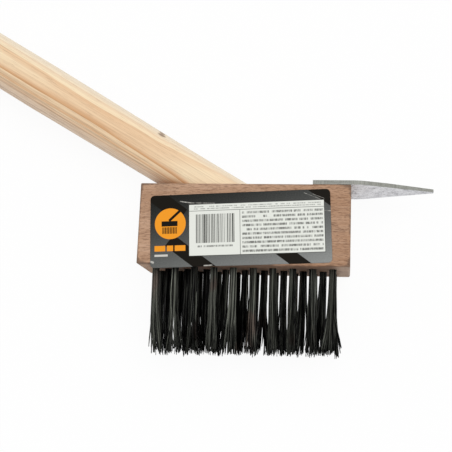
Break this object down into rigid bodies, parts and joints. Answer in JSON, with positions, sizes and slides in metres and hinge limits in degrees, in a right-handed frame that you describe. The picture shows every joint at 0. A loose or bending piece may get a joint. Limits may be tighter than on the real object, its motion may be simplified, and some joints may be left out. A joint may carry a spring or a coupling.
{
  "type": "wire brush",
  "caption": "Wire brush for paving joints: tufts of flat steel wire in a wooden block, a slanting wooden handle and a pointed side scraper.",
  "frame": {"origin": "middle of the flat back of the wooden block, on which the brush lies", "axes": "+X along the block to the scraper's tip, +Y from the bristles to the handle's side, +Z out of the labelled face"},
  "size_m": [1.1294, 0.7022, 0.0383],
  "materials": {
    "beech": "planed, unvarnished beech with short dark flecks",
    "pine": "turned, unvarnished pine with long orange growth bands",
    "zinc_plate": "mottled, zinc-coated sheet with sheared grey edges",
    "zinc_screws": "bright zinc",
    "label_paper": "glossy printed paper, worn at its corners",
    "staple_wire": "plain drawn wire",
    "brush_wire": "dark oiled spring steel, flat wire"
  },
  "bodies": {
    "root": {"block": "beech", "handle": "pine", "scraper": "zinc_plate", "scraper_screws": "zinc_screws", "handle_screw": "zinc_screws", "label": "label_paper", "staples": "staple_wire", "tuft_front_1": "brush_wire", "tuft_front_2": "brush_wire", "tuft_front_3": "brush_wire", "tuft_front_4": "brush_wire", "tuft_front_5": "brush_wire", "tuft_front_6": "brush_wire", "tuft_front_7": "brush_wire", "tuft_front_8": "brush_wire", "tuft_front_9": "brush_wire", "tuft_front_10": "brush_wire", "tuft_middle_1": "brush_wire", "tuft_middle_2": "brush_wire", "tuft_middle_3": "brush_wire", "tuft_middle_4": "brush_wire", "tuft_middle_5": "brush_wire", "tuft_middle_6": "brush_wire", "tuft_middle_7": "brush_wire", "tuft_middle_8": "brush_wire", "tuft_middle_9": "brush_wire", "tuft_back_1": "brush_wire", "tuft_back_2": "brush_wire", "tuft_back_3": "brush_wire", "tuft_back_4": "brush_wire", "tuft_back_5": "brush_wire", "tuft_back_6": "brush_wire", "tuft_back_7": "brush_wire", "tuft_back_8": "brush_wire", "tuft_back_9": "brush_wire", "tuft_back_10": "brush_wire"}
  },
  "joints": []
}
